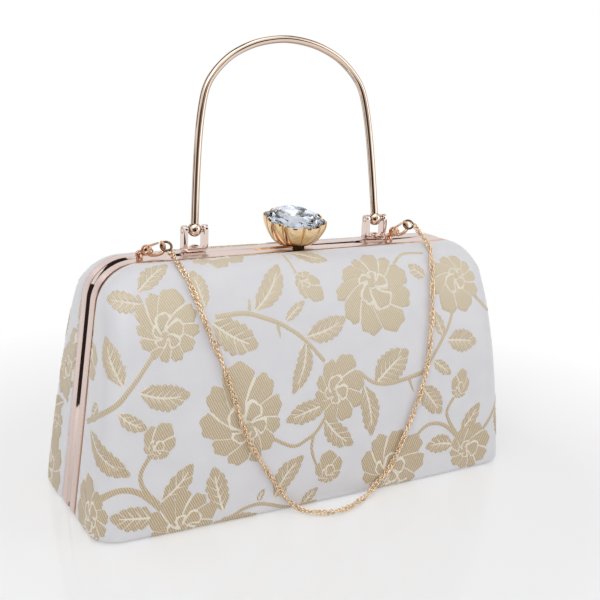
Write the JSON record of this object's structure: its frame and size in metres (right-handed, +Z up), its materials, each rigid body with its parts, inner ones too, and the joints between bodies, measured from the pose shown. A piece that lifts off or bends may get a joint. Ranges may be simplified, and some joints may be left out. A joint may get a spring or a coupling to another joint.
{
  "type": "box clutch bag",
  "caption": "Hard-shell evening clutch: two brocade-covered halves in a metal frame, bow handle, jewelled tilting clasp and a fine chain on snap clasps.",
  "frame": {"origin": "on the floor under the bag, at the middle of its whole box; the seam between the halves is 6.5 mm behind it, because the chain lies in front", "axes": "+X to the bag's right seen from the front, +Y to the back, +Z up; the halves part at the plane y = 0.0065"},
  "size_m": [0.1994, 0.0877, 0.1903],
  "materials": {
    "satin_frame": "satin rose-gold plate",
    "polished_metal": "mirror-polished pale rose-gold plate",
    "gold_fittings": "polished yellow-gold plate",
    "chain_gold": "polished pale-gold plate",
    "steel": "plain nickelled",
    "brocade": "satin jacquard with raised pale-gold flowers",
    "moulded_shell": "moulded",
    "satin_lining": "satin",
    "crystal": "cut and polished, clear"
  },
  "bodies": {
    "back_half": {"back_frame": "satin_frame", "back_cover": "brocade", "back_shell": "moulded_shell", "back_lining": "satin_lining", "hinge_leaf_back": "satin_frame", "hinge_pin": "steel", "handle_bracket_left": "satin_frame", "handle_bracket_right": "satin_frame", "handle_pin_left": "polished_metal", "handle_pin_right": "polished_metal", "bracket_rivet_left": "polished_metal", "bracket_rivet_right": "polished_metal", "clasp_keeper": "steel"},
    "front_half": {"front_frame": "satin_frame", "front_cover": "brocade", "front_shell": "moulded_shell", "front_lining": "satin_lining", "hinge_leaf_front": "satin_frame", "clasp_housing": "steel", "clasp_pin": "steel", "clasp_spring": "steel", "chain_loop_left": "gold_fittings", "chain_loop_right": "gold_fittings", "lobster_body_left": "gold_fittings", "lobster_body_right": "gold_fittings", "chain_ring_left": "polished_metal", "chain_ring_right": "polished_metal", "chain": "chain_gold"},
    "handle": {"handle_bow": "polished_metal"},
    "clasp": {"clasp_lever": "steel", "clasp_cup": "gold_fittings", "clasp_crystal": "crystal"},
    "trigger_left": {"lobster_trigger_left": "gold_fittings"},
    "trigger_right": {"lobster_trigger_right": "gold_fittings"}
  },
  "joints": [
    {"name": "case_hinge", "type": "hinge", "parent": "back_half", "child": "front_half", "pos_m": [0, 0.0065, 0.0014], "axis": [1, 0, 0], "range_deg": [0, 70]},
    {"name": "handle_swing", "type": "hinge", "parent": "back_half", "child": "handle", "pos_m": [0, 0.0105, 0.112], "axis": [1, 0, 0], "range_deg": [-112, 100]},
    {"name": "clasp_tilt", "type": "hinge", "parent": "front_half", "child": "clasp", "pos_m": [0, 0.0015, 0.098], "axis": [-1, 0, 0], "range_deg": [0, 6], "stiffness_Nm_per_rad": 0.05, "springref_deg": -5.73},
    {"name": "trigger_left_hinge", "type": "hinge", "parent": "front_half", "child": "trigger_left", "pos_m": [-0.06829, 0.0025, 0.10792], "axis": [0, 1, 0], "range_deg": [0, 12], "stiffness_Nm_per_rad": 0.002, "springref_deg": -11.46},
    {"name": "trigger_right_hinge", "type": "hinge", "parent": "front_half", "child": "trigger_right", "pos_m": [0.04906, 0.0025, 0.10847], "axis": [0, 1, 0], "range_deg": [0, 12], "stiffness_Nm_per_rad": 0.002, "springref_deg": -11.46}
  ]
}
